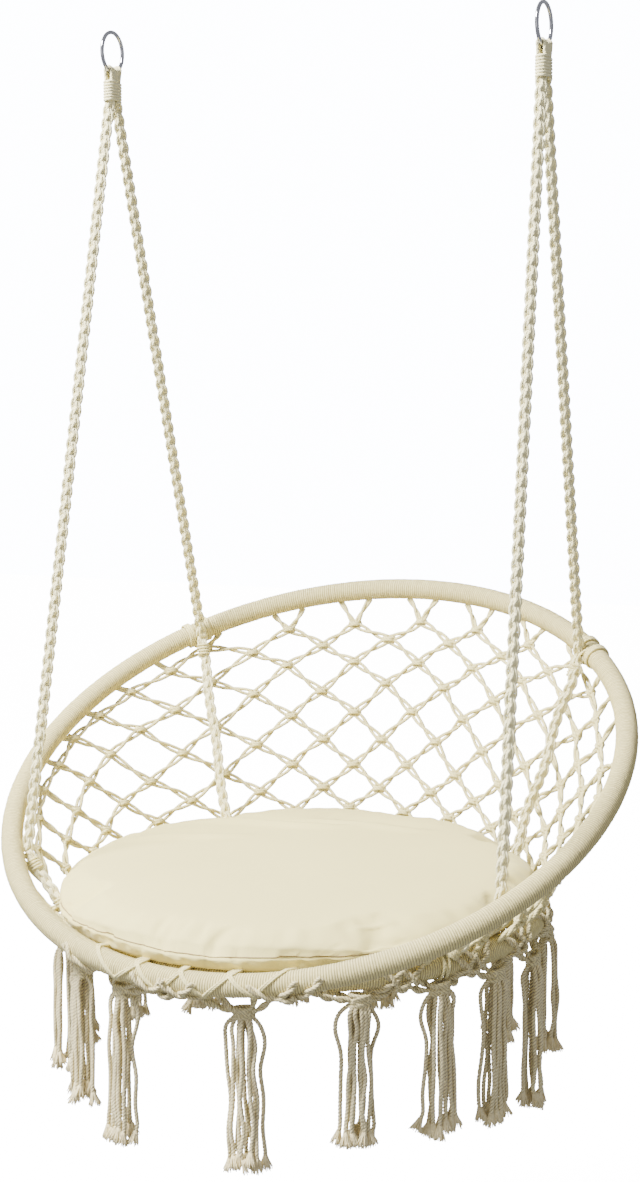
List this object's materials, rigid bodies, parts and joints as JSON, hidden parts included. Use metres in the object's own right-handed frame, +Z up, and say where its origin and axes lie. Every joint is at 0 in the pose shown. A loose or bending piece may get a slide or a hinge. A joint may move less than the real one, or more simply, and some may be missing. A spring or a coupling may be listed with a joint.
{
  "type": "hanging macrame hoop chair",
  "caption": "Round hanging swing seat: a tilted wrapped hoop and a seat hoop joined by knotted netting, with a fringe, a loose cushion and braided ropes up to steel hook rings.",
  "frame": {"origin": "inner top of the left steel ring, where the hook that carries it bears", "axes": "+Z up, +X from the left steel ring to the right one, -Y towards the open front of the chair"},
  "size_m": [0.8, 0.709, 1.3017],
  "materials": {
    "chromed_wire": "polished chromed steel wire",
    "steel_tube": "powder coated steel tube, hidden under the cord",
    "wound_cord": "natural cotton cord wound close round the tube",
    "braided_rope": "natural cotton rope, three strand braid",
    "net_cord": "natural twisted cotton cord, knotted",
    "fringe_cord": "natural twisted cotton cord with frayed ends",
    "canvas": "cream cotton canvas",
    "filling": "white polyester fibre filling"
  },
  "bodies": {
    "hanging_rings": {"left_steel_ring": "chromed_wire", "right_steel_ring": "chromed_wire"},
    "left_eye": {"left_rope_eye": "braided_rope"},
    "left_ropes": {"left_whipping": "braided_rope", "left_front_rope": "braided_rope", "left_back_rope": "braided_rope"},
    "seat": {"back_net": "net_cord", "big_hoop_tube": "steel_tube", "big_hoop_wrap": "wound_cord", "fringe_skirt": "net_cord", "front_lashing": "braided_rope", "front_left_net": "net_cord", "front_right_net": "net_cord", "left_back_lower_hitch": "braided_rope", "left_back_lower_rope": "braided_rope", "left_back_upper_hitch": "braided_rope", "left_front_lower_hitch": "braided_rope", "left_front_lower_rope": "braided_rope", "left_front_upper_hitch": "braided_rope", "left_net": "net_cord", "right_back_lower_hitch": "braided_rope", "right_back_lower_rope": "braided_rope", "right_back_upper_hitch": "braided_rope", "right_front_lower_hitch": "braided_rope", "right_front_lower_rope": "braided_rope", "right_front_upper_hitch": "braided_rope", "right_net": "net_cord", "seat_hoop_tube": "steel_tube", "seat_hoop_wrap": "wound_cord", "seat_net": "net_cord"},
    "right_ropes": {"right_rope_eye": "braided_rope", "right_whipping": "braided_rope", "right_front_rope": "braided_rope", "right_back_rope": "braided_rope"},
    "cushion": {"cushion_cover": "canvas", "cushion_filling": "filling"},
    "tassel_01_body": {"tassel_01": "fringe_cord"},
    "tassel_02_body": {"tassel_02": "fringe_cord"},
    "tassel_03_body": {"tassel_03": "fringe_cord"},
    "tassel_04_body": {"tassel_04": "fringe_cord"},
    "tassel_05_body": {"tassel_05": "fringe_cord"},
    "tassel_06_body": {"tassel_06": "fringe_cord"},
    "tassel_07_body": {"tassel_07": "fringe_cord"},
    "tassel_08_body": {"tassel_08": "fringe_cord"},
    "tassel_09_body": {"tassel_09": "fringe_cord"},
    "tassel_10_body": {"tassel_10": "fringe_cord"},
    "tassel_11_body": {"tassel_11": "fringe_cord"},
    "tassel_12_body": {"tassel_12": "fringe_cord"},
    "tassel_13_body": {"tassel_13": "fringe_cord"},
    "tassel_14_body": {"tassel_14": "fringe_cord"},
    "tassel_15_body": {"tassel_15": "fringe_cord"}
  },
  "joints": [
    {"name": "swing", "type": "hinge", "parent": "hanging_rings", "child": "left_eye", "pos_m": [0, 0, -0.0225], "axis": [1, 0, 0], "range_deg": [-30, 30]},
    {"name": "sway", "type": "hinge", "parent": "left_eye", "child": "left_ropes", "pos_m": [0, 0, -0.0475], "axis": [0, 1, 0], "range_deg": [-8, 8]},
    {"name": "seat_levelling", "type": "hinge", "parent": "left_ropes", "child": "seat", "pos_m": [0, 0, -0.8957], "axis": [0, 1, 0], "range_deg": [-9, 9], "deforming": ["left_front_rope", "left_back_rope"]},
    {"name": "right_rope_levelling", "type": "hinge", "parent": "seat", "child": "right_ropes", "pos_m": [0.576, 0, -0.8957], "axis": [0, 1, 0], "range_deg": [-9, 9], "deforming": ["right_front_rope", "right_back_rope"]},
    {"name": "cushion_lift", "type": "slide", "parent": "seat", "child": "cushion", "axis": [0, 0, 1], "range_m": [0, 0.5]},
    {"name": "tassel_01_swing", "type": "hinge", "parent": "seat", "child": "tassel_01_body", "pos_m": [0.34752, -0.31475, -1.12716], "axis": [0.9781, 0.2079, 0], "range_deg": [-25, 25]},
    {"name": "tassel_02_swing", "type": "hinge", "parent": "seat", "child": "tassel_02_body", "pos_m": [0.46027, -0.26344, -1.12447], "axis": [0.7986, 0.6018, 0], "range_deg": [-25, 25]},
    {"name": "tassel_03_swing", "type": "hinge", "parent": "seat", "child": "tassel_03_body", "pos_m": [0.52531, -0.19499, -1.12088], "axis": [0.5592, 0.829, 0], "range_deg": [-25, 25]},
    {"name": "tassel_04_swing", "type": "hinge", "parent": "seat", "child": "tassel_04_body", "pos_m": [0.56174, -0.11872, -1.11688], "axis": [0.2924, 0.9563, 0], "range_deg": [-25, 25]},
    {"name": "tassel_05_swing", "type": "hinge", "parent": "seat", "child": "tassel_05_body", "pos_m": [0.57425, -0.03514, -1.11251], "axis": [0, 1, 0], "range_deg": [-25, 25]},
    {"name": "tassel_06_swing", "type": "hinge", "parent": "seat", "child": "tassel_06_body", "pos_m": [0.55699, 0.06263, -1.10738], "axis": [-0.342, 0.9397, 0], "range_deg": [-25, 25]},
    {"name": "tassel_07_swing", "type": "hinge", "parent": "seat", "child": "tassel_07_body", "pos_m": [0.45219, 0.19902, -1.10023], "axis": [-0.8192, 0.5736, 0], "range_deg": [-25, 25]},
    {"name": "tassel_08_swing", "type": "hinge", "parent": "seat", "child": "tassel_08_body", "pos_m": [0.25808, 0.24915, -1.09761], "axis": [-0.9945, -0.1045, 0], "range_deg": [-25, 25]},
    {"name": "tassel_09_swing", "type": "hinge", "parent": "seat", "child": "tassel_09_body", "pos_m": [0.14488, 0.21242, -1.09953], "axis": [-0.866, -0.5, 0], "range_deg": [-25, 25]},
    {"name": "tassel_10_swing", "type": "hinge", "parent": "seat", "child": "tassel_10_body", "pos_m": [0.05642, 0.13288, -1.1037], "axis": [-0.5878, -0.809, 0], "range_deg": [-25, 25]},
    {"name": "tassel_11_swing", "type": "hinge", "parent": "seat", "child": "tassel_11_body", "pos_m": [0.00909, 0.02916, -1.10913], "axis": [-0.225, -0.9744, 0], "range_deg": [-25, 25]},
    {"name": "tassel_12_swing", "type": "hinge", "parent": "seat", "child": "tassel_12_body", "pos_m": [0.00454, -0.07492, -1.11459], "axis": [0.1392, -0.9903, 0], "range_deg": [-25, 25]},
    {"name": "tassel_13_swing", "type": "hinge", "parent": "seat", "child": "tassel_13_body", "pos_m": [0.0401, -0.17807, -1.12], "axis": [0.5, -0.866, 0], "range_deg": [-25, 25]},
    {"name": "tassel_14_swing", "type": "hinge", "parent": "seat", "child": "tassel_14_body", "pos_m": [0.11177, -0.2604, -1.12431], "axis": [0.788, -0.6157, 0], "range_deg": [-25, 25]},
    {"name": "tassel_15_swing", "type": "hinge", "parent": "seat", "child": "tassel_15_body", "pos_m": [0.1901, -0.30376, -1.12658], "axis": [0.9397, -0.342, 0], "range_deg": [-25, 25]}
  ],
  "couplings": [
    {"joint": "seat_levelling", "follows": "sway", "ratio": -1},
    {"joint": "right_rope_levelling", "follows": "sway", "ratio": 1}
  ]
}
